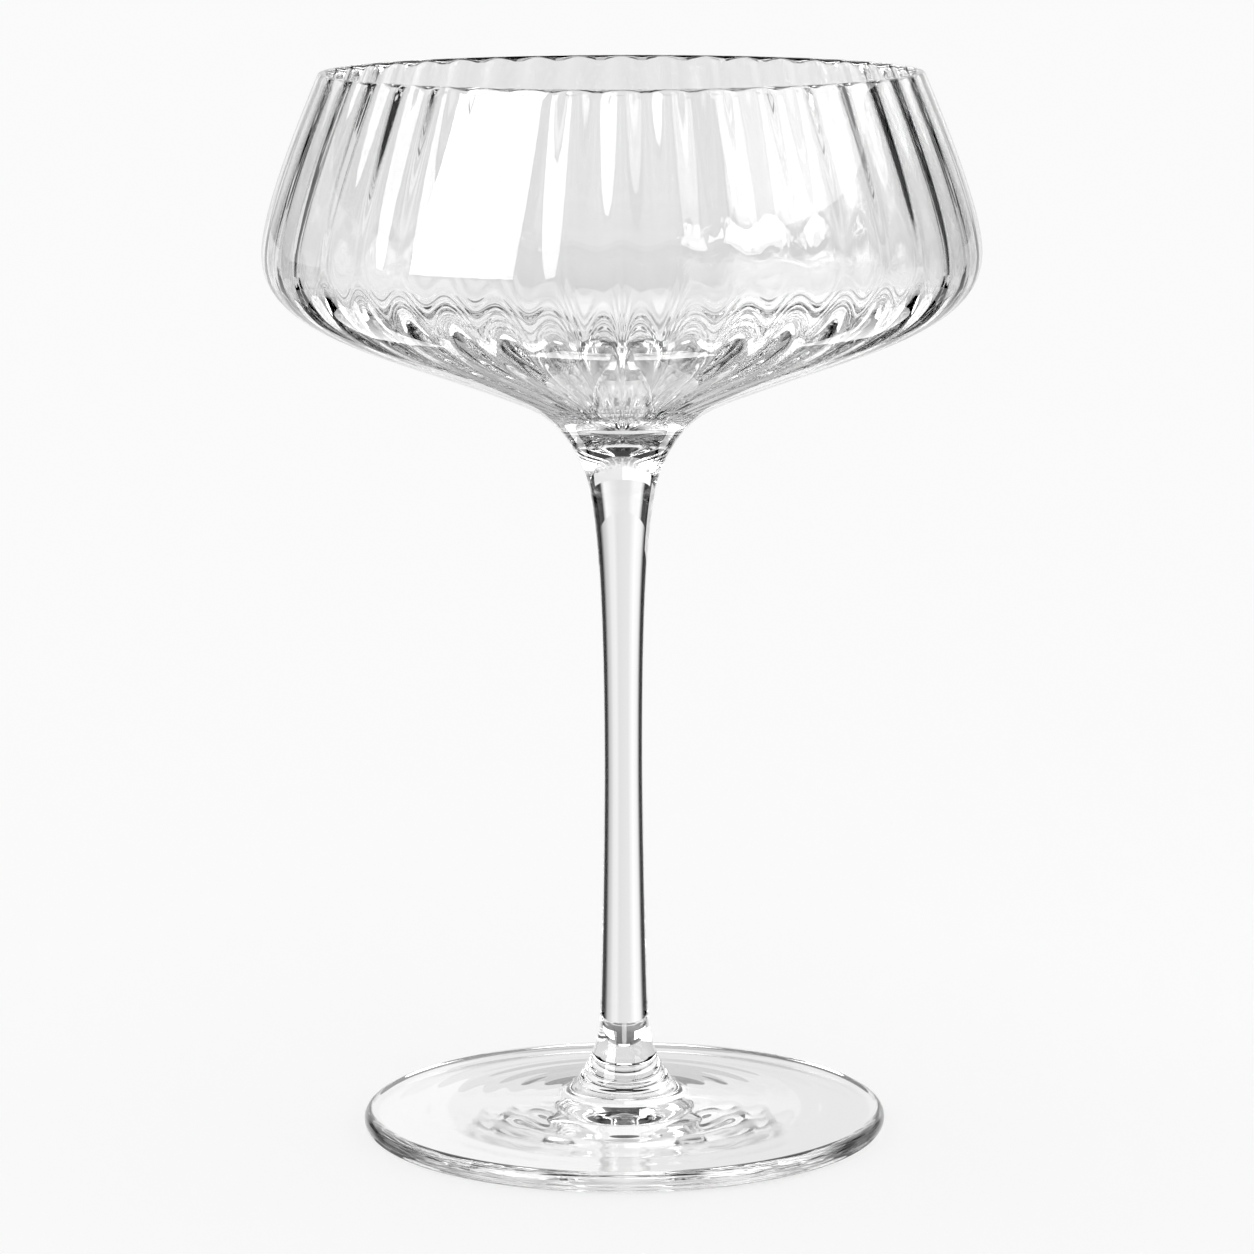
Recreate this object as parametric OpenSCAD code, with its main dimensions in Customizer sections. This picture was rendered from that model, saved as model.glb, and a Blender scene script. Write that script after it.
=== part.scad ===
// Coupe glass in three pieces of clear glass, fused at two flat seats:
// a wide blown bowl that is smooth outside and ribbed inside, a drawn stem and a round foot.
// The origin is the centre of the plane that the foot rests on, with +Z up.

/* [Glass] */
// Height from the table to the top of the lip
glass_h = 165.2; // [150:0.1:190]

/* [Bowl outside] */
// Diameter of the bowl at its belt, where it is widest
belt_d = 110.2; // [100:0.1:124]
// Outer diameter just below the lip
rim_d = 92.4; // [84:0.1:98]
// Drop from the top of the lip to the belt
rim_drop = 27.6; // [22:0.1:34]
// Rise from the neck seat to the belt
belt_rise = 32.7; // [29:0.1:38]
// Lean of the upper wall from the vertical, in degrees
wall_lean = 23.4; // [16:0.1:28]
// Length over which the wall keeps its lean below the lip
wall_pull = 8.1; // [5:0.1:10]
// Length over which the wall stays upright above the belt
belt_pull_up = 6.4; // [4:0.1:9]
// Length over which the wall stays upright below the belt
belt_pull_down = 11; // [8:0.1:12]
// Diameter where the underside turns from round to hollow
turn_d = 44; // [38:0.5:52]
// Height of that turn above the neck seat
turn_rise = 11.9; // [10:0.1:13]
// Lean of the underside from the vertical at that turn, in degrees
turn_lean = 69; // [64:0.5:72]
// Length over which the underside keeps that lean outwards
turn_pull_out = 18; // [12:0.5:20]
// Length over which the underside keeps that lean inwards
turn_pull_in = 9.5; // [6:0.5:12]

/* [Bowl inside] */
// Thickness of the glass at the lip
lip_t = 1.2; // [1:0.05:1.6]
// Radius of the lip's two rounded edges
lip_round = 0.5; // [0.3:0.05:0.55]
// Mean thickness of the wall at the belt
belt_t = 1.6; // [1.2:0.05:2.2]
// Mean thickness of the underside where it turns hollow
turn_t = 2.4; // [1.8:0.05:3]
// Glass between the neck seat and the lowest point inside
floor_t = 8.6; // [7:0.1:9.5]
// Length over which the floor stays level from the middle outwards
floor_pull = 7; // [4:0.5:10]
// Ribs around the inside
ribs = 42; // [36:1:48]
// Height of a rib above the mean surface just below the lip
lip_rib_h = 0.35; // [0.1:0.01:0.45]
// Height of a rib above the mean surface at the belt
belt_rib_h = 0.08; // [0:0.01:0.35]
// Height of a rib above the mean surface where the underside turns hollow
turn_rib_h = 0.55; // [0.1:0.01:0.6]
// How late the ribs grow below the belt: 1 is evenly
rib_delay = 3; // [1:0.5:4]

/* [Stem] */
// Diameter of the seat between bowl and stem
neck_d = 12.6; // [10:0.1:15]
// Lean of the glass at that seat, in degrees
neck_lean = 25; // [15:1:32]
// Length over which the bowl keeps that lean
neck_pull_up = 8.4; // [5:0.1:9]
// Length over which the stem keeps that lean
neck_pull_down = 3; // [1:0.1:5]
// Diameter of the stem at its waist
waist_d = 6; // [5:0.1:8]
// Height of the waist above the table
waist_z = 58; // [50:0.5:66]
// Length over which the stem stays slim above its waist
waist_pull_up = 38; // [20:0.5:40]
// Length over which the stem stays slim below its waist
waist_pull_down = 10; // [5:0.5:20]

/* [Foot] */
// Diameter of the foot
foot_d = 81.8; // [74:0.1:92]
// Thickness of the foot at its edge, which is fully rounded
edge_t = 3.2; // [2.4:0.1:4]
// Height of the seat between stem and foot
boss_z = 15.8; // [13:0.1:20]
// Diameter of that seat
boss_d = 7.8; // [7:0.1:9]
// Lean of the glass at that seat, in degrees
boss_lean = 9; // [4:1:14]
// Length over which the foot's boss keeps that lean
boss_pull_down = 6; // [4:0.1:8]
// Length over which the stem keeps that lean
boss_pull_up = 2; // [1:0.1:4]
// Diameter where the boss runs out into the disc
disc_d = 21; // [18:0.5:26]
// Thickness of the disc there
disc_t = 5.3; // [4.6:0.1:6]
// Fall of the disc's top there, in degrees
disc_fall = 7; // [4:0.5:12]
// Length over which the disc keeps that fall, to both sides
disc_pull = 2; // [1:0.1:4]
// Length over which the disc's top runs level into its edge
edge_pull = 12; // [6:0.5:16]
// Width of the flat ring that the foot rests on
rest_w = 2.4; // [1.5:0.1:4]
// Rise of the domed underside above the table at its middle
kick_h = 0.8; // [0.3:0.1:1.2]

/* [Hidden] */

// Sides of a turned surface, and steps along the curves and round edges of a section
turn_sides = 240;
curve_steps = 20;
edge_steps = 8;
// Facets of the ribbed cavity: around each rib, and down each stretch of it
rib_sides = 4;
lip_steps = 3;
wall_steps = 7;
under_steps = 8;
floor_steps = 5;
// Share of the upper wall over which the ribs grow from nothing
rib_grow_share = 0.15;
// Share of the floor's curve over which the ribs run out
rib_fade_share = 0.8;
// Turn of the lip's inner edge, in degrees, before it runs straight out through the top
lip_turn = 70;
// Overrun of the cavity above the lip
overrun = 1;

// Corner points of the section, as [radius, height]
belt_z = glass_h - rim_drop;
neck_z = belt_z - belt_rise;
wall_top = [rim_d / 2, glass_h - lip_round * (1 - sin(wall_lean))];
belt = [belt_d / 2, belt_z];
turn = [turn_d / 2, neck_z + turn_rise];
neck = [neck_d / 2, neck_z];
waist = [waist_d / 2, waist_z];
boss = [boss_d / 2, boss_z];
disc = [disc_d / 2, disc_t];
edge_mid = [(foot_d - edge_t) / 2, edge_t / 2];
edge_top = edge_mid + [0, edge_t / 2];
rest_in = edge_mid[0] - rest_w;
floor_mid = [0, neck_z + floor_t];

// The unit heading of a surface that goes down, and inwards by a lean from the vertical
function heading(lean) = [-sin(lean), -cos(lean)];

// A point on a cubic curve at t, the curve's direction there, and the unit normal left of it
function place(c, t) =
    pow(1 - t, 3) * c[0]
    + 3 * t * pow(1 - t, 2) * c[1]
    + 3 * t * t * (1 - t) * c[2]
    + pow(t, 3) * c[3];
function travel(c, t) =
    pow(1 - t, 2) * (c[1] - c[0])
    + 2 * t * (1 - t) * (c[2] - c[1])
    + t * t * (c[3] - c[2]);
function normal(c, t) =
    let (v = travel(c, t))
    [-v[1], v[0]] / norm(v);

// A point at an angle on a circle
function on_circle(mid, r, angle) = mid + r * [cos(angle), sin(angle)];

// Points along a cubic curve and along an arc, each without its first point
function curve(c, steps = curve_steps) =
    [for (i = [1 : steps]) place(c, i / steps)];
function arc(mid, r, from, to, steps = edge_steps) =
    [for (i = [1 : steps]) on_circle(mid, r, from + (to - from) * i / steps)];

// The outside of the bowl, from the lip down to the neck
wall_curve = [
    wall_top,
    wall_top + heading(-wall_lean) * wall_pull,
    belt + [0, belt_pull_up],
    belt
];
under_curve = [
    belt,
    belt - [0, belt_pull_down],
    turn - heading(turn_lean) * turn_pull_out,
    turn
];
flare_curve = [
    turn,
    turn + heading(turn_lean) * turn_pull_in,
    neck - heading(neck_lean) * neck_pull_up,
    neck
];

// The centres of the lip's outer and inner round edges
lip_out = on_circle(wall_top, lip_round, 180 + wall_lean);
lip_in = lip_out - [(lip_t - 2 * lip_round) / cos(wall_lean), 0];

// The cavity's rings from the top down, each as [section point, normal into the glass, rib height]
function lip_ring(i) =
    [on_circle(lip_in, lip_round, 180 + wall_lean - lip_turn * i / lip_steps), [1, 0], 0];
lip_exit = lip_ring(lip_steps)[0];
exit_rise = glass_h + overrun - lip_exit[1];
exit_ring =
    [lip_exit + exit_rise * [tan(lip_turn - wall_lean), 1], [1, 0], 0];
function wall_ring(t) =
    let (n = normal(wall_curve, t))
    let (rib_h = lip_rib_h + (belt_rib_h - lip_rib_h) * t)
    [
        place(wall_curve, t) - n * (lip_t + (belt_t - lip_t) * t),
        n,
        rib_h * min(1, t / rib_grow_share)
    ];
function under_ring(t) =
    let (n = normal(under_curve, t))
    [
        place(under_curve, t) - n * (belt_t + (turn_t - belt_t) * t),
        n,
        belt_rib_h + (turn_rib_h - belt_rib_h) * pow(t, rib_delay)
    ];
turn_in = under_ring(1)[0];
floor_curve = [
    turn_in,
    turn_in + heading(turn_lean) * turn_pull_in,
    floor_mid + [floor_pull, 0],
    floor_mid
];
function floor_ring(t) =
    [place(floor_curve, t), normal(floor_curve, t), turn_rib_h * max(0, 1 - t / rib_fade_share)];
cavity_rings = concat(
    [exit_ring],
    [for (i = [lip_steps : -1 : 0]) lip_ring(i)],
    [for (i = [1 : wall_steps]) wall_ring(i / wall_steps)],
    [for (i = [1 : under_steps]) under_ring(i / under_steps)],
    [for (i = [1 : floor_steps - 1]) floor_ring(i / floor_steps)]
);

// The ribbed inside of the bowl, as a closed solid that stands out above the lip
module bowl_cavity() {
    around = ribs * rib_sides;
    last = len(cavity_rings) - 1;
    points = concat(
        [
            for (ring = cavity_rings)
                for (j = [0 : around - 1])
                    let (angle = 360 * j / around)
                    let (p = ring[0] - ring[1] * ring[2] * cos(ribs * angle))
                    [p[0] * cos(angle), p[0] * sin(angle), p[1]]
        ],
        [[0, 0, cavity_rings[0][0][1]], [0, 0, floor_mid[1]]]
    );
    top = len(points) - 2;
    bottom = len(points) - 1;
    faces = concat(
        [for (j = [0 : around - 1]) [top, (j + 1) % around, j]],
        [
            for (i = [0 : last - 1])
                for (j = [0 : around - 1])
                    let (a = i * around + j)
                    let (b = i * around + (j + 1) % around)
                    for (face = [[a, b, b + around], [a, b + around, a + around]])
                        face
        ],
        [for (j = [0 : around - 1]) [bottom, last * around + j, last * around + (j + 1) % around]]
    );
    polyhedron(points, faces, convexity = 8);
}

// Everything inside the bowl's outer surface, with a level top at the lip
module bowl_blank() {
    rotate_extrude($fn = turn_sides)
        polygon(concat(
            [[0, neck_z], [0, glass_h], [lip_out[0], glass_h]],
            arc(lip_out, lip_round, 90, wall_lean),
            curve(wall_curve),
            curve(under_curve),
            curve(flare_curve)
        ));
}

// The bowl, open at the top, down to its flat seat on the stem
module bowl() {
    color("lightcyan")
        difference() {
            bowl_blank();
            bowl_cavity();
        }
}

// The solid stem, drawn slim between its seats on the bowl and on the foot
module stem() {
    upper_curve = [
        neck,
        neck + heading(neck_lean) * neck_pull_down,
        waist + [0, waist_pull_up],
        waist
    ];
    lower_curve = [
        waist,
        waist - [0, waist_pull_down],
        boss - heading(-boss_lean) * boss_pull_up,
        boss
    ];
    color("aliceblue")
        rotate_extrude($fn = turn_sides)
            polygon(concat(
                [[0, boss_z], [0, neck_z], neck],
                curve(upper_curve),
                curve(lower_curve)
            ));
}

// The foot: a boss that spreads into a disc, with a round edge and a shallow domed underside
module foot() {
    fall = [cos(disc_fall), -sin(disc_fall)];
    boss_curve = [
        boss,
        boss + heading(-boss_lean) * boss_pull_down,
        disc - fall * disc_pull,
        disc
    ];
    disc_curve = [
        disc,
        disc + fall * disc_pull,
        edge_top - [edge_pull, 0],
        edge_top
    ];
    kick_r = (rest_in * rest_in + kick_h * kick_h) / (2 * kick_h);
    kick_mid = [0, kick_h - kick_r];
    kick_start = acos(rest_in / kick_r);
    color("azure")
        rotate_extrude($fn = turn_sides)
            polygon(concat(
                [[0, boss_z], boss],
                curve(boss_curve),
                curve(disc_curve),
                arc(edge_mid, edge_t / 2, 90, -90, 2 * edge_steps),
                [[rest_in, 0]],
                arc(kick_mid, kick_r, kick_start, 90)
            ));
}

bowl();
stem();
foot();
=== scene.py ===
from math import atan2, cos, pi, radians, sin

import bmesh
import bpy
from bpy.props import FloatProperty, FloatVectorProperty, IntProperty, PointerProperty
from mathutils import Euler, Matrix, Vector
from mathutils.geometry import interpolate_bezier


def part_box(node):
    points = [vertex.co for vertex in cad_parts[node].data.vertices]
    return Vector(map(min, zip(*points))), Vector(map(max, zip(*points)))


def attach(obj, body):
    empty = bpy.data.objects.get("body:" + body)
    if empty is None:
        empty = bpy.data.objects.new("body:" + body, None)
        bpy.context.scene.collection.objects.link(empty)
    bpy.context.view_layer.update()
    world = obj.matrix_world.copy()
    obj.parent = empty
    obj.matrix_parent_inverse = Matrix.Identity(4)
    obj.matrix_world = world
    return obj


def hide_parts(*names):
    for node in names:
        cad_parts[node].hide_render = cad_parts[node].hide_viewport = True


bl_info = {
    "name": "Ribbed coupe glass",
    "version": (1, 0, 0),
    "blender": (4, 5, 0),
    "location": "3D View > Sidebar > Coupe",
    "description": "Models a ribbed coupe glass in three fused pieces and lights it on a white sweep",
    "category": "Object",
}

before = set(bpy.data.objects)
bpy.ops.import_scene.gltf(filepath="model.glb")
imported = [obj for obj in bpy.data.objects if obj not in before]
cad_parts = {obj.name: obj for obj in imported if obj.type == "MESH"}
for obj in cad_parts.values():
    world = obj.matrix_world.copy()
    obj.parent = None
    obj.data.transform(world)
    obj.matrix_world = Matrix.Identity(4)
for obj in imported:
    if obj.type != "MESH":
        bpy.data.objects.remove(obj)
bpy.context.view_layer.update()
BOWL_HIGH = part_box("bowl")[1]
STEM_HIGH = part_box("stem")[1]
FOOT_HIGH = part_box("foot")[1]

MM = 0.001
BODY = "root"
FULL_TURN = 2 * pi
# Points closer than this are one
TOUCH = 0.0005 * MM
# Sectors of a plain turned piece
TURNED_SECTORS = 16
# Share of the floor's curve over which the ribs run out
RIB_FADE_SHARE = 0.8

# Steps along the stretches of the bowl's outside, from the lip down to the neck
LIP_OUTER_STEPS = 4
WALL_OUTER_STEPS = 16
UNDER_OUTER_STEPS = 18
FLARE_STEPS = 18
# Steps along the stretches of its inside, from the lip down to the middle
LIP_INNER_STEPS = 6
WALL_INNER_STEPS = 24
UNDER_INNER_STEPS = 26
FLOOR_STEPS = 24
# Steps along the stem above its waist, and as many below it
STEM_STEPS = 60
# Steps along the stretches of the foot, from its boss round to the middle of its underside
BOSS_STEPS = 60
DISC_STEPS = 90
EDGE_STEPS = 24
KICK_STEPS = 40
# Steps of the spin through one rib, one sector of the stem and one sector of the foot
RIB_SPIN_STEPS = 16
STEM_SPIN_STEPS = 16
FOOT_SPIN_STEPS = 20


# Sizes that a user would change


def length(name, description, default):
    """A length property, shown in the scene's units."""
    return FloatProperty(
        name=name, description=description, default=default, unit="LENGTH", min=0, precision=4
    )


def angle(name, description, default):
    """An angle property, given in degrees and kept in radians."""
    return FloatProperty(name=name, description=description, default=radians(default), unit="ROTATION")


class CoupeBowlSizes(bpy.types.PropertyGroup):
    """The ribbed bowl: its outside, its inside and its ribs."""

    height: length("Glass height", "From the table to the top of the lip", BOWL_HIGH.z)
    belt_radius: length("Belt radius", "Radius where the bowl is widest", BOWL_HIGH.x)
    belt_height: length("Belt height", "Height of the belt above the table", 137.6 * MM)
    rim_radius: length("Rim radius", "Outer radius just below the lip", 46.2 * MM)
    wall_lean: angle("Wall lean", "Lean of the upper wall from the vertical", 23.4)
    wall_pull: length("Wall pull", "Length over which the wall keeps its lean below the lip", 8.1 * MM)
    belt_pull_up: length("Belt pull up", "Length over which the wall is upright above the belt", 6.4 * MM)
    belt_pull_down: length("Belt pull down", "Length over which it is upright below the belt", 11 * MM)
    turn_radius: length("Turn radius", "Radius where the underside turns hollow", 22 * MM)
    turn_rise: length("Turn rise", "Height of that turn above the neck seat", 11.9 * MM)
    turn_lean: angle("Turn lean", "Lean of the underside from the vertical at that turn", 69)
    turn_pull_out: length(
        "Turn pull out", "Length over which the underside keeps that lean outwards", 18 * MM
    )
    turn_pull_in: length(
        "Turn pull in", "Length over which the underside keeps that lean inwards", 9.5 * MM
    )
    neck_lean: angle("Neck lean", "Lean of the glass at the neck seat", 25)
    neck_pull: length("Neck pull", "Length over which the bowl keeps the neck's lean", 8.4 * MM)
    lip_thickness: length("Lip thickness", "Thickness of the glass at the lip", 1.2 * MM)
    lip_round: length("Lip round", "Radius of the lip's two rounded edges", 0.5 * MM)
    belt_thickness: length("Belt thickness", "Mean thickness of the wall at the belt", 1.6 * MM)
    turn_thickness: length(
        "Turn thickness", "Mean thickness where the underside turns hollow", 2.4 * MM
    )
    floor_thickness: length(
        "Floor thickness", "Glass between the neck seat and the inside's lowest point", 8.6 * MM
    )
    floor_pull: length(
        "Floor pull", "Length over which the floor is level from the middle outwards", 7 * MM
    )
    ribs: IntProperty(name="Ribs", description="Ribs around the inside", default=42, min=12, max=72)
    lip_rib: length("Lip rib", "Height of a rib above the mean surface just below the lip", 0.35 * MM)
    belt_rib: length("Belt rib", "Height of a rib above the mean surface at the belt", 0.08 * MM)
    turn_rib: length("Turn rib", "Height of a rib above the mean surface at the turn", 0.55 * MM)
    rib_delay: FloatProperty(
        name="Rib delay", description="How late the ribs grow below the belt: 1 is evenly",
        default=3.0, min=1, max=4,
    )


class CoupeStemSizes(bpy.types.PropertyGroup):
    """The drawn stem between its two seats."""

    neck_radius: length("Neck radius", "Radius of the seat between bowl and stem", STEM_HIGH.x)
    neck_height: length("Neck height", "Height of that seat above the table", STEM_HIGH.z)
    neck_lean: angle("Neck lean", "Lean of the glass at that seat", 25)
    neck_pull: length("Neck pull", "Length over which the stem keeps that lean", 3 * MM)
    waist_radius: length("Waist radius", "Radius of the stem at its waist", 3 * MM)
    waist_height: length("Waist height", "Height of the waist above the table", 58 * MM)
    waist_pull_up: length(
        "Waist pull up", "Length over which the stem stays slim above its waist", 38 * MM
    )
    waist_pull_down: length(
        "Waist pull down", "Length over which the stem stays slim below its waist", 10 * MM
    )
    boss_pull: length("Boss pull", "Length over which the stem keeps its lean at the foot", 2 * MM)


class CoupeFootSizes(bpy.types.PropertyGroup):
    """The spun foot with its boss."""

    radius: length("Foot radius", "Radius of the foot", FOOT_HIGH.x)
    edge_thickness: length("Edge thickness", "Thickness of the foot's round edge", 3.2 * MM)
    boss_radius: length("Boss radius", "Radius of the seat between stem and foot", 3.9 * MM)
    boss_height: length("Boss height", "Height of that seat above the table", FOOT_HIGH.z)
    boss_lean: angle("Boss lean", "Lean of the glass at that seat", 9)
    boss_pull: length("Boss pull", "Length over which the boss keeps that lean", 6 * MM)
    disc_radius: length("Disc radius", "Radius where the boss runs out into the disc", 10.5 * MM)
    disc_thickness: length("Disc thickness", "Thickness of the disc there", 5.3 * MM)
    disc_fall: angle("Disc fall", "Fall of the disc's top there", 7)
    disc_pull: length("Disc pull", "Length over which the disc keeps that fall", 2 * MM)
    ripple_height: length(
        "Ripple height", "Height of the faint rings that spinning leaves in the disc", 0.02 * MM
    )
    ripple_length: length("Ripple length", "Distance from one ring to the next", 4.6 * MM)
    edge_pull: length(
        "Edge pull", "Length over which the disc's top runs level into its edge", 12 * MM
    )
    rest_width: length("Rest width", "Width of the flat ring that the foot rests on", 2.4 * MM)
    kick_height: length("Kick height", "Rise of the domed underside at its middle", 0.8 * MM)


class CoupeGlassLook(bpy.types.PropertyGroup):
    """The finish of the glass."""

    tint: FloatVectorProperty(
        name="Tint", description="Colour of the clear glass", subtype="COLOR", default=(1.0, 1.0, 1.0)
    )
    ior: FloatProperty(
        name="IOR", description="Refractive index of the glass", default=1.52, min=1.4, max=1.8
    )
    roughness: FloatProperty(
        name="Roughness", description="Mean roughness of the fire-polished skin",
        default=0.0005, min=0, max=0.1,
    )
    waves: length("Waves", "Height of the slow waves in the drawn skin", 0.004 * MM)


class CoupeStage(bpy.types.PropertyGroup):
    """The white sweep, the studio room painted around it for the glass, and the camera."""

    backdrop: FloatVectorProperty(
        name="Backdrop", description="Colour of the sweep and the room behind", subtype="COLOR",
        default=(0.956, 0.961, 0.956),
    )
    floor_radius: length("Floor radius", "Radius of the round floor", 9)
    camera_distance: length("Camera distance", "Level distance from glass to camera", 773.9 * MM)
    camera_height: length("Camera height", "Height of the camera above the table", 209.5 * MM)
    camera_pitch: angle("Camera pitch", "How far the camera looks down", 9.545)
    camera_yaw: angle("Camera yaw", "How far the camera looks past the glass to its right", 0.046)
    camera_roll: angle("Camera roll", "How far the camera leans to its right", 0.17)
    lens: FloatProperty(name="Lens", description="Focal length on a 36 mm sensor, in mm", default=145.3)


# Sections, as points with x for the radius and z for the height


def at(radius, height):
    """A point of a section."""
    return Vector((radius, 0, height))


def heading(lean):
    """The unit heading of a surface that goes down, and inwards by a lean from the vertical."""
    return Vector((-sin(lean), 0, -cos(lean)))


def curve(start, leave, arrive, end, steps):
    """Points along a cubic curve, with its first point and its last."""
    return interpolate_bezier(start, leave, arrive, end, steps + 1)


def normals(start, leave, arrive, end, steps):
    """The unit normals of that curve at the same points, to the left of the way that it runs."""
    found = []
    for i in range(steps + 1):
        t = i / steps
        way = (1 - t) ** 2 * (leave - start) + 2 * t * (1 - t) * (arrive - leave) + t ** 2 * (end - arrive)
        found.append(Vector((-way.z, 0, way.x)).normalized())
    return found


def arc(centre, radius, first, last, steps):
    """Points along an arc in the section's plane, with its first point and its last."""
    turns = [first + (last - first) * i / steps for i in range(steps + 1)]
    return [centre + radius * Vector((cos(t), 0, sin(t))) for t in turns]


def dome(radius, rise, steps):
    """Points along a shallow dome, from its edge on the table to its middle."""
    ball_radius = (radius ** 2 + rise ** 2) / (2 * rise)
    reaches = [radius * (1 - i / steps) for i in range(steps + 1)]
    return [at(reach, rise - ball_radius + (ball_radius ** 2 - reach ** 2) ** 0.5) for reach in reaches]


def chain(*stretches):
    """One run of points from several that share their end points."""
    points = []
    for stretch in stretches:
        for point in stretch:
            if not points or (point - points[-1]).length > TOUCH:
                points.append(point)
    return points


def grown(first, last, steps, delay=1):
    """Values that grow from the first, which is left out, to the last; a delay above 1 grows them late."""
    return [first + (last - first) * (i / steps) ** delay for i in range(1, steps + 1)]


def inwards(points, ways, first, last):
    """The points moved against their normals, by a thickness that grows from the first to the last."""
    thicknesses = [first] + grown(first, last, len(points) - 1)
    return [point - way * thickness for point, way, thickness in zip(points, ways, thicknesses)]


def spun(name, section, sectors, steps, seats, materials, rises=None):
    """A turned solid, closed at its poles, whose level seats have their own material.

    The section is spun through one sector, ribs are raised there, and copies of it go round the axis.
    rises gives, at each point of the section, the way and height that a rib stands out.
    """
    bm = bmesh.new()
    rise = bm.verts.layers.float_vector.new("rise")
    verts = [bm.verts.new(point) for point in section]
    for vert, way in zip(verts, rises or []):
        vert[rise] = way
    edges = [bm.edges.new(pair) for pair in zip(verts, verts[1:])]
    bmesh.ops.spin(
        bm, geom=verts + edges, cent=(0, 0, 0), axis=(0, 0, 1), dvec=(0, 0, 0),
        angle=FULL_TURN / sectors, steps=steps, use_merge=False, use_duplicate=False,
    )
    for vert in bm.verts:
        if vert[rise].length:
            turn = atan2(vert.co.y, vert.co.x)
            vert.co += Matrix.Rotation(turn, 3, "Z") @ vert[rise] * cos(sectors * turn)
    sector = list(bm.verts) + list(bm.edges) + list(bm.faces)
    for i in range(1, sectors):
        copy = bmesh.ops.duplicate(bm, geom=sector)["geom"]
        copied = [item for item in copy if isinstance(item, bmesh.types.BMVert)]
        onwards = Matrix.Rotation(FULL_TURN * i / sectors, 3, "Z")
        bmesh.ops.rotate(bm, cent=(0, 0, 0), matrix=onwards, verts=copied)
    bmesh.ops.remove_doubles(bm, verts=bm.verts, dist=TOUCH)
    bmesh.ops.recalc_face_normals(bm, faces=bm.faces)
    for face in bm.faces:
        face.smooth = True
        face.material_index = int(any(on_level(face, height) for height in seats))
    for edge in bm.edges:
        edge.smooth = len({face.material_index for face in edge.link_faces}) == 1
    bm.verts.layers.float_vector.remove(rise)
    mesh = bpy.data.meshes.new(name)
    bm.to_mesh(mesh)
    bm.free()
    piece = bpy.data.objects.new(name, mesh)
    bpy.context.scene.collection.objects.link(piece)
    for material in materials:
        mesh.materials.append(material)
    return piece


def on_level(face, height):
    """Whether a face lies in the level plane at a height."""
    return all(abs(vert.co.z - height) < TOUCH for vert in face.verts)


def hand_over(piece, node):
    """The piece stands for its CAD node and rides on the glass."""
    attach(piece, BODY)
    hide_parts(node)


# Nodes of the finishes and of the studio room


def fresh_tree(owner):
    """The node tree of a new material or world, emptied."""
    owner.use_nodes = True
    owner.node_tree.nodes.clear()
    return owner.node_tree


def node_of(tree, kind, place, **inputs):
    """A new node at a place in the editor, with some of its inputs set."""
    node = tree.nodes.new(kind)
    node.location = place
    for name, value in inputs.items():
        node.inputs[name.replace("_", " ")].default_value = value
    return node


def feed(tree, socket, source):
    """An input gets its link or its number."""
    if isinstance(source, bpy.types.NodeSocket):
        tree.links.new(source, socket)
    else:
        socket.default_value = source


def math_node(tree, operation, place, *values):
    """One Math node, whose inputs are links or numbers."""
    node = tree.nodes.new("ShaderNodeMath")
    node.operation = operation
    node.location = place
    for socket, value in zip(node.inputs, values):
        feed(tree, socket, value)
    return node.outputs["Value"]


def shown_in_glass(tree, place, plain, shown):
    """A plain shader for the camera and diffuse light, and another one for the rays of the glass."""
    left, height = place
    kind = node_of(tree, "ShaderNodeLightPath", (left - 400, height + 300))
    mirrored = kind.outputs["Is Glossy Ray"]
    let_through = kind.outputs["Is Transmission Ray"]
    by_glass = math_node(tree, "MAXIMUM", (left - 200, height + 300), mirrored, let_through)
    mix = node_of(tree, "ShaderNodeMixShader", place)
    tree.links.new(by_glass, mix.inputs["Fac"])
    tree.links.new(plain, mix.inputs[1])
    tree.links.new(shown, mix.inputs[2])
    return mix.outputs["Shader"]


# Finishes

# Scale and detail of the noise that makes the slow waves in the skin of the glass
WAVE_SCALE = 55.0
WAVE_DETAIL = 1.0
# Scale and detail of the noise that makes the faint bloom in its gloss, and the noise's values at which the
# bloom starts and is full
BLOOM_SCALE = 220.0
BLOOM_DETAIL = 3.0
BLOOM_START = 0.35
BLOOM_FULL = 0.75
# Share of the floor that takes the glass's shadow; the rest is its own even white
SHADOW_SHARE = 0.3


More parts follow.
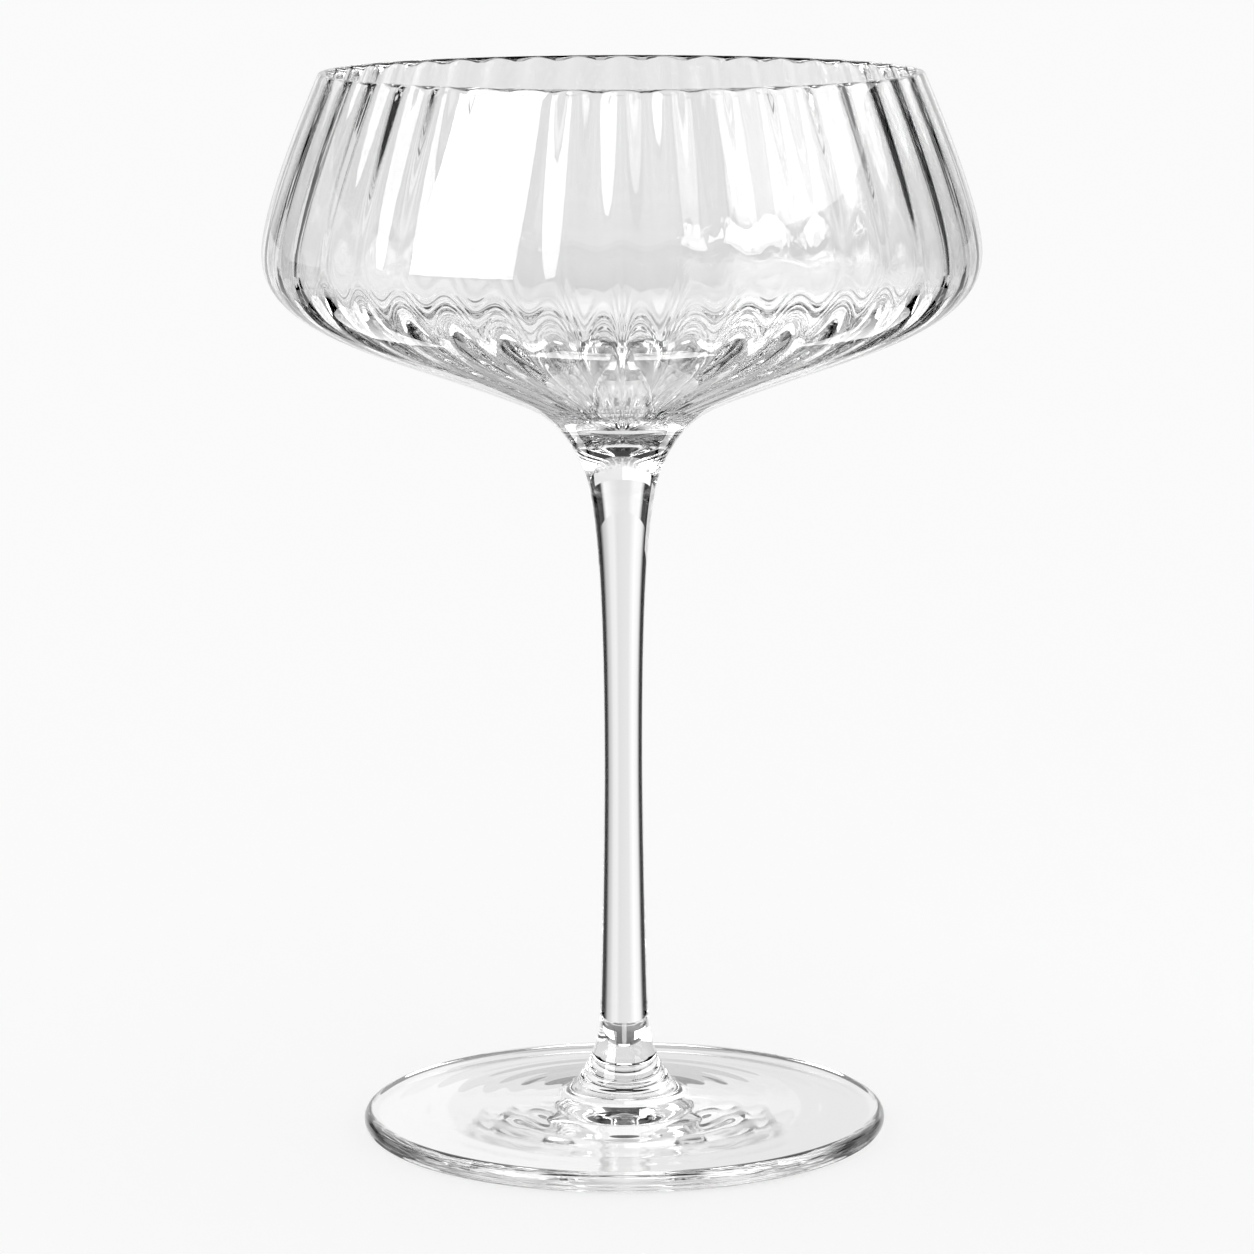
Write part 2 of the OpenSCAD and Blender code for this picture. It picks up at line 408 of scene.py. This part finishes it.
def clear_glass(name):
    """Clear fire-polished glass: slow waves in its skin, and a faint bloom in its gloss."""
    look = bpy.context.scene.coupe_look
    material = bpy.data.materials.new(name)
    tree = fresh_tree(material)
    link = tree.links.new
    place = node_of(tree, "ShaderNodeTexCoord", (-900, 0))
    bloom = node_of(tree, "ShaderNodeTexNoise", (-600, 150), Scale=BLOOM_SCALE, Detail=BLOOM_DETAIL)
    polish = node_of(
        tree, "ShaderNodeMapRange", (-300, 150),
        From_Min=BLOOM_START, From_Max=BLOOM_FULL, To_Min=0.0, To_Max=2 * look.roughness,
    )
    waves = node_of(tree, "ShaderNodeTexNoise", (-600, -200), Scale=WAVE_SCALE, Detail=WAVE_DETAIL)
    bump = node_of(tree, "ShaderNodeBump", (-300, -200), Strength=1.0, Distance=look.waves)
    shader = node_of(
        tree, "ShaderNodeBsdfPrincipled", (0, 0),
        Base_Color=(*look.tint, 1), IOR=look.ior, Transmission_Weight=1.0,
    )
    output = node_of(tree, "ShaderNodeOutputMaterial", (300, 0))
    link(place.outputs["Object"], bloom.inputs["Vector"])
    link(place.outputs["Object"], waves.inputs["Vector"])
    link(bloom.outputs["Fac"], polish.inputs["Value"])
    link(polish.outputs["Result"], shader.inputs["Roughness"])
    link(waves.outputs["Fac"], bump.inputs["Height"])
    link(bump.outputs["Normal"], shader.inputs["Normal"])
    link(shader.outputs["BSDF"], output.inputs["Surface"])
    return material


def fused_seat():
    """The seats, where two pieces have melted together, so that no light turns there."""
    material = bpy.data.materials.get("fused_seat")
    if material is None:
        material = bpy.data.materials.new("fused_seat")
        tree = fresh_tree(material)
        clear = node_of(tree, "ShaderNodeBsdfTransparent", (0, 0))
        output = node_of(tree, "ShaderNodeOutputMaterial", (300, 0))
        tree.links.new(clear.outputs["BSDF"], output.inputs["Surface"])
    return material


def sweep_paper(backdrop):
    """The floor: even white that takes a little shadow, and is open to the rays of the glass."""
    material = bpy.data.materials.new("sweep_paper")
    tree = fresh_tree(material)
    link = tree.links.new
    even = node_of(tree, "ShaderNodeEmission", (-400, 100), Color=(*backdrop, 1))
    lit = node_of(tree, "ShaderNodeBsdfDiffuse", (-400, -100), Color=(1, 1, 1, 1))
    paper = node_of(tree, "ShaderNodeMixShader", (-200, 0), Fac=SHADOW_SHARE)
    clear = node_of(tree, "ShaderNodeBsdfTransparent", (-200, -200))
    output = node_of(tree, "ShaderNodeOutputMaterial", (200, 0))
    link(even.outputs["Emission"], paper.inputs[1])
    link(lit.outputs["BSDF"], paper.inputs[2])
    surface = shown_in_glass(tree, (0, 0), paper.outputs["Shader"], clear.outputs["BSDF"])
    link(surface, output.inputs["Surface"])
    return material


# Painted room: its bright and dark patches show only in the glass and light nothing else
# The studio room. A turn is taken from straight behind the glass, plus to its right, and a height from the
# horizon up, both in degrees. Its levels go back to a computed fit to the photo's grey levels, which was merged,
# rounded and then changed. They record what suits the photo, not the plan of a real studio.

# The near edge of the white table painted behind the glass, and the top of the painted bright wall behind that
# table
TABLE_EDGE = -21
WALL_TOP = 27
# Brightness of that table and of that wall at some turns: painted light, seen only in the glass. Black flags of
# painted darkness stand beside them and draw the dark edges of the glass.
TABLE_BY_TURN = (
    (-45, 0.0), (-41, 0.25), (-36, 0.75), (-30, 0.95), (-20, 1.05), (-10, 0.82), (8, 0.77), (14, 0.9),
    (22, 0.85), (29, 0.65), (36, 0.5), (41, 0.15), (45, 0.0),
)
WALL_BY_TURN = (
    (-31, 0.0), (-28, 0.55), (-24, 1.0), (-14, 1.0), (-7, 0.8), (5, 0.78), (12, 0.85), (18, 0.95),
    (24, 1.0), (28, 0.55), (31, 0.0),
)
# Painted patches of light and dark in the room, seen only in the glass, each laid over the one before it: its
# first and last turn, the heights of its lower and upper edge, and its brightness
PAINTED_FITTINGS = (
    # The table to the sides, on the camera's side and under the glass
    (-180, -70, -90, -2, 0.75),
    (70, 180, -90, -2, 0.75),
    (-70, 70, -90, -58, 0.7),
    # A painted bright strip over the painted black cloth, which lies on the table just behind the foot
    (-4, 4, -58, TABLE_EDGE, 0.5),
    # Strips of the table to both sides of that cloth
    (-70, -34, -26, -19, 0.8),
    (34, 70, -26, -19, 0.8),
    # Walls on the camera's side, and a grey one to the right
    (-180, -146, -26, 26, 0.6),
    (150, 180, -26, 26, 0.6),
    (78, 106, -2, 24, 0.3),
    # The upper part of the painted bright wall behind the glass
    (-44, 0, 12, WALL_TOP, 1.15),
    (0, 44, 12, WALL_TOP, 0.85),
    # Painted bright patches low on the cloth, seen only in the bowl's reflections and refractions; they light
    # nothing
    (-60, -20, -46, -34, 3.2),
    (20, 60, -46, -34, 3.2),
    (-12, 12, -60, -50, 3.2),
    # Painted softboxes and high windows: bright patches seen only in the glass, not lamps
    (-104, -50, -2, 16, 0.8),
    (-146, -110, 1.5, 50, 7.0),
    (106, 150, -8, 14, 1.3),
    (56, 140, 24, 50, 3.0),
    (-48, 48, WALL_TOP, 36, 1.0),
    (-78, 60, 36, 50, 1.0),
    (-180, -150, 26, 56, 0.8),
    (150, 180, 26, 56, 0.8),
)
# Distance in the node editor from the nodes of one part of the room down to those of the next
ROW = 200


def greys_by_turn(tree, place, turn, stops):
    """The brightness at every turn, from pairs of a turn and a brightness."""
    first = stops[0][0]
    last = stops[-1][0]
    scale = node_of(tree, "ShaderNodeMapRange", place, From_Min=first, From_Max=last)
    greys = node_of(tree, "ShaderNodeValToRGB", (place[0] + 200, place[1]))
    elements = greys.color_ramp.elements
    for _ in range(len(stops) - 2):
        elements.new(0.5)
    for element, (stop, grey) in zip(elements, stops):
        element.position = (stop - first) / (last - first)
        element.color = (grey, grey, grey, 1)
    tree.links.new(turn, scale.inputs["Value"])
    tree.links.new(scale.outputs["Result"], greys.inputs["Fac"])
    return greys.outputs["Color"]


def within(tree, place, value, low, high):
    """1 where a value lies between two bounds, and 0 outside them."""
    return math_node(tree, "COMPARE", place, value, (low + high) / 2, (high - low) / 2)


def painted(tree, place, below, brightness, share):
    """A brightness laid over the one below it by a share."""
    mix = tree.nodes.new("ShaderNodeMix")
    mix.location = place
    for name, source in (("Factor", share), ("A", below), ("B", brightness)):
        feed(tree, mix.inputs[name], source)
    return mix.outputs["Result"]


def room_painted_for_glass(backdrop):
    """The world: a plain backdrop for the camera and the floor, and a painted room seen only in the glass."""
    world = bpy.data.worlds.new("room_painted_for_glass")
    bpy.context.scene.world = world
    tree = fresh_tree(world)
    link = tree.links.new
    way = node_of(tree, "ShaderNodeTexCoord", (-1800, 0))
    parts = node_of(tree, "ShaderNodeSeparateXYZ", (-1600, 0))
    link(way.outputs["Generated"], parts.inputs["Vector"])
    right, behind, up = (parts.outputs[axis] for axis in "XYZ")
    bearing = math_node(tree, "ARCTAN2", (-1400, 100), right, behind)
    rise = math_node(tree, "ARCSINE", (-1400, -100), up)
    turn = math_node(tree, "DEGREES", (-1200, 100), bearing)
    height = math_node(tree, "DEGREES", (-1200, -100), rise)
    light = 0.0
    bands = ((TABLE_BY_TURN, TABLE_EDGE, 0), (WALL_BY_TURN, 0, WALL_TOP))
    for row, (by_turn, low, high) in enumerate(bands):
        level = -row * ROW
        greys = greys_by_turn(tree, (-1000, level), turn, by_turn)
        share = within(tree, (-400, level), height, low, high)
        light = painted(tree, (-200, level), light, greys, share)
    for row, (first_turn, last_turn, low, high, brightness) in enumerate(PAINTED_FITTINGS, len(bands)):
        level = -row * ROW
        across = within(tree, (-800, level), turn, first_turn, last_turn)
        upright = within(tree, (-600, level), height, low, high)
        share = math_node(tree, "MULTIPLY", (-400, level), across, upright)
        light = painted(tree, (-200, level), light, brightness, share)
    room = node_of(tree, "ShaderNodeBackground", (0, 100), Color=(1, 1, 1, 1))
    link(light, room.inputs["Strength"])
    plain = node_of(tree, "ShaderNodeBackground", (0, -100), Color=(*backdrop, 1))
    output = node_of(tree, "ShaderNodeOutputWorld", (400, 0))
    surface = shown_in_glass(tree, (200, 0), plain.outputs["Background"], room.outputs["Background"])
    link(surface, output.inputs["Surface"])


# Operators

# Segments of the round floor
FLOOR_SEGMENTS = 64
# Most bounces of light that goes through the glass, and of light that it mirrors
GLASS_BOUNCES = 24
GLOSS_BOUNCES = 16


class CoupeAddBowl(bpy.types.Operator):
    """Model the bowl: turned outside, ribbed inside, with its flat seat on the stem"""

    bl_idname = "coupe.add_bowl"
    bl_label = "Bowl"

    def execute(self, context):
        s = context.scene.coupe_bowl
        stem = context.scene.coupe_stem
        wall_top = at(s.rim_radius, s.height - s.lip_round * (1 - sin(s.wall_lean)))
        belt = at(s.belt_radius, s.belt_height)
        turn = at(s.turn_radius, stem.neck_height + s.turn_rise)
        neck = at(stem.neck_radius, stem.neck_height)
        floor_mid = at(0, stem.neck_height + s.floor_thickness)
        lip_out = wall_top - s.lip_round * at(cos(s.wall_lean), sin(s.wall_lean))
        lip_in = lip_out - at((s.lip_thickness - 2 * s.lip_round) / cos(s.wall_lean), 0)
        wall_way = heading(-s.wall_lean)
        turn_way = heading(s.turn_lean)
        neck_way = heading(s.neck_lean)
        wall = [wall_top, wall_top + wall_way * s.wall_pull, belt + at(0, s.belt_pull_up), belt]
        under = [belt, belt - at(0, s.belt_pull_down), turn - turn_way * s.turn_pull_out, turn]
        flare = [turn, turn + turn_way * s.turn_pull_in, neck - neck_way * s.neck_pull, neck]
        outside = chain(
            arc(lip_out, s.lip_round, pi / 2, s.wall_lean, LIP_OUTER_STEPS),
            curve(*wall, WALL_OUTER_STEPS),
            curve(*under, UNDER_OUTER_STEPS),
            curve(*flare, FLARE_STEPS),
        )
        lip = arc(lip_in, s.lip_round, pi / 2, pi + s.wall_lean, LIP_INNER_STEPS)
        wall_ways = normals(*wall, WALL_INNER_STEPS)
        under_ways = normals(*under, UNDER_INNER_STEPS)
        inner_wall = inwards(
            curve(*wall, WALL_INNER_STEPS), wall_ways, s.lip_thickness, s.belt_thickness
        )
        inner_under = inwards(
            curve(*under, UNDER_INNER_STEPS), under_ways, s.belt_thickness, s.turn_thickness
        )
        turn_in = inner_under[-1]
        floor = [turn_in, turn_in + turn_way * s.turn_pull_in, floor_mid + at(s.floor_pull, 0), floor_mid]
        inside = chain(lip, inner_wall, inner_under, curve(*floor, FLOOR_STEPS))
        fade = [max(0, 1 - share / RIB_FADE_SHARE) for share in grown(0, 1, FLOOR_STEPS)]
        heights = (
            [0] + grown(0, s.lip_rib, LIP_INNER_STEPS)
            + grown(s.lip_rib, s.belt_rib, WALL_INNER_STEPS)
            + grown(s.belt_rib, s.turn_rib, UNDER_INNER_STEPS, s.rib_delay)
            + [s.turn_rib * share for share in fade]
        )
        floor_ways = normals(*floor, FLOOR_STEPS)
        ways = [wall_ways[0]] * len(lip) + wall_ways[1:] + under_ways[1:] + floor_ways[1:]
        rises = [-way * height for way, height in zip(ways, heights)]
        section = inside[::-1] + outside[1:] + [at(0, stem.neck_height)]
        rises = rises[::-1] + [Vector()] * (len(section) - len(inside))
        seats = [stem.neck_height]
        glass = [clear_glass("bowl_glass"), fused_seat()]
        bowl = spun("coupe_bowl", section, s.ribs, RIB_SPIN_STEPS, seats, glass, rises)
        hand_over(bowl, "bowl")
        return {"FINISHED"}


class CoupeAddStem(bpy.types.Operator):
    """Model the stem: one turned rod between its seats on the bowl and on the foot"""

    bl_idname = "coupe.add_stem"
    bl_label = "Stem"

    def execute(self, context):
        s = context.scene.coupe_stem
        foot = context.scene.coupe_foot
        neck = at(s.neck_radius, s.neck_height)
        waist = at(s.waist_radius, s.waist_height)
        boss = at(foot.boss_radius, foot.boss_height)
        neck_way = heading(s.neck_lean)
        boss_way = heading(-foot.boss_lean)
        upper = [neck, neck + neck_way * s.neck_pull, waist + at(0, s.waist_pull_up), waist]
        lower = [waist, waist - at(0, s.waist_pull_down), boss - boss_way * s.boss_pull, boss]
        side = chain(curve(*upper, STEM_STEPS), curve(*lower, STEM_STEPS))
        section = [at(0, s.neck_height)] + side + [at(0, foot.boss_height)]
        seats = [s.neck_height, foot.boss_height]
        glass = [clear_glass("stem_glass"), fused_seat()]
        stem = spun("coupe_stem", section, TURNED_SECTORS, STEM_SPIN_STEPS, seats, glass)
        hand_over(stem, "stem")
        return {"FINISHED"}


class CoupeAddFoot(bpy.types.Operator):
    """Model the foot: its boss, its disc with a round edge, and its shallow domed underside"""

    bl_idname = "coupe.add_foot"
    bl_label = "Foot"

    def execute(self, context):
        s = context.scene.coupe_foot
        boss = at(s.boss_radius, s.boss_height)
        disc = at(s.disc_radius, s.disc_thickness)
        edge_round = s.edge_thickness / 2
        edge_mid = at(s.radius - edge_round, edge_round)
        edge_top = edge_mid + at(0, edge_round)
        boss_way = heading(-s.boss_lean)
        disc_way = Vector((cos(s.disc_fall), 0, -sin(s.disc_fall)))
        side = [boss, boss + boss_way * s.boss_pull, disc - disc_way * s.disc_pull, disc]
        top = [disc, disc + disc_way * s.disc_pull, edge_top - at(s.edge_pull, 0), edge_top]
        rings = curve(*top, DISC_STEPS)
        for i, point in enumerate(rings):
            swell = s.ripple_height * sin(pi * i / DISC_STEPS)
            point.z += swell * sin(FULL_TURN * (point.x - disc.x) / s.ripple_length)
        section = chain(
            [at(0, s.boss_height)],
            curve(*side, BOSS_STEPS),
            rings,
            arc(edge_mid, edge_round, pi / 2, -pi / 2, EDGE_STEPS),
            dome(edge_mid.x - s.rest_width, s.kick_height, KICK_STEPS),
        )
        seats = [s.boss_height]
        glass = [clear_glass("foot_glass"), fused_seat()]
        foot = spun("coupe_foot", section, TURNED_SECTORS, FOOT_SPIN_STEPS, seats, glass)
        hand_over(foot, "foot")
        return {"FINISHED"}


class CoupeAddStage(bpy.types.Operator):
    """Lay the white sweep, set up the studio room painted for the glass and place the camera"""

    bl_idname = "coupe.add_stage"
    bl_label = "Stage"

    def execute(self, context):
        s = context.scene.coupe_stage
        bm = bmesh.new()
        bmesh.ops.create_circle(bm, cap_ends=True, radius=s.floor_radius, segments=FLOOR_SEGMENTS)
        mesh = bpy.data.meshes.new("sweep")
        bm.to_mesh(mesh)
        bm.free()
        mesh.materials.append(sweep_paper(s.backdrop))
        floor = bpy.data.objects.new("sweep", mesh)
        context.scene.collection.objects.link(floor)
        room_painted_for_glass(s.backdrop)
        camera = bpy.data.objects.new("camera", bpy.data.cameras.new("camera"))
        context.scene.collection.objects.link(camera)
        camera.data.lens = s.lens
        camera.location = (0, -s.camera_distance, s.camera_height)
        aimed = Euler((pi / 2 - s.camera_pitch, 0, -s.camera_yaw)).to_matrix()
        rolled = Euler((0, 0, -s.camera_roll)).to_matrix()
        camera.rotation_euler = (aimed @ rolled).to_euler()
        context.scene.camera = camera
        context.scene.view_settings.view_transform = "Standard"
        cycles = context.scene.cycles
        cycles.max_bounces = GLASS_BOUNCES
        cycles.transmission_bounces = GLASS_BOUNCES
        cycles.glossy_bounces = GLOSS_BOUNCES
        cycles.transparent_max_bounces = GLASS_BOUNCES
        return {"FINISHED"}


class CoupePanel(bpy.types.Panel):
    """The coupe's sizes and pieces, in the 3D view's sidebar"""

    bl_idname = "VIEW3D_PT_coupe"
    bl_label = "Coupe glass"
    bl_space_type = "VIEW_3D"
    bl_region_type = "UI"
    bl_category = "Coupe"

    def draw(self, context):
        for group, operator in STEPS:
            box = self.layout.box()
            values = getattr(context.scene, group)
            for name in values.__annotations__:
                box.prop(values, name)
            if operator:
                box.operator(operator)


GROUPS = {
    "coupe_look": CoupeGlassLook,
    "coupe_bowl": CoupeBowlSizes,
    "coupe_stem": CoupeStemSizes,
    "coupe_foot": CoupeFootSizes,
    "coupe_stage": CoupeStage,
}
STEPS = (
    ("coupe_look", None),
    ("coupe_bowl", "coupe.add_bowl"),
    ("coupe_stem", "coupe.add_stem"),
    ("coupe_foot", "coupe.add_foot"),
    ("coupe_stage", "coupe.add_stage"),
)
OPERATORS = (CoupeAddBowl, CoupeAddStem, CoupeAddFoot, CoupeAddStage)


def register():
    for group in GROUPS.values():
        bpy.utils.register_class(group)
    for name, group in GROUPS.items():
        setattr(bpy.types.Scene, name, PointerProperty(type=group))
    for operator in OPERATORS:
        bpy.utils.register_class(operator)
    bpy.utils.register_class(CoupePanel)


def unregister():
    bpy.utils.unregister_class(CoupePanel)
    for operator in reversed(OPERATORS):
        bpy.utils.unregister_class(operator)
    for name in GROUPS:
        delattr(bpy.types.Scene, name)
    for group in reversed(GROUPS.values()):
        bpy.utils.unregister_class(group)


def main():
    """Makes every piece and the stage."""
    register()
    bpy.ops.coupe.add_bowl()
    bpy.ops.coupe.add_stem()
    bpy.ops.coupe.add_foot()
    bpy.ops.coupe.add_stage()


if __name__ == "__main__":
    main()
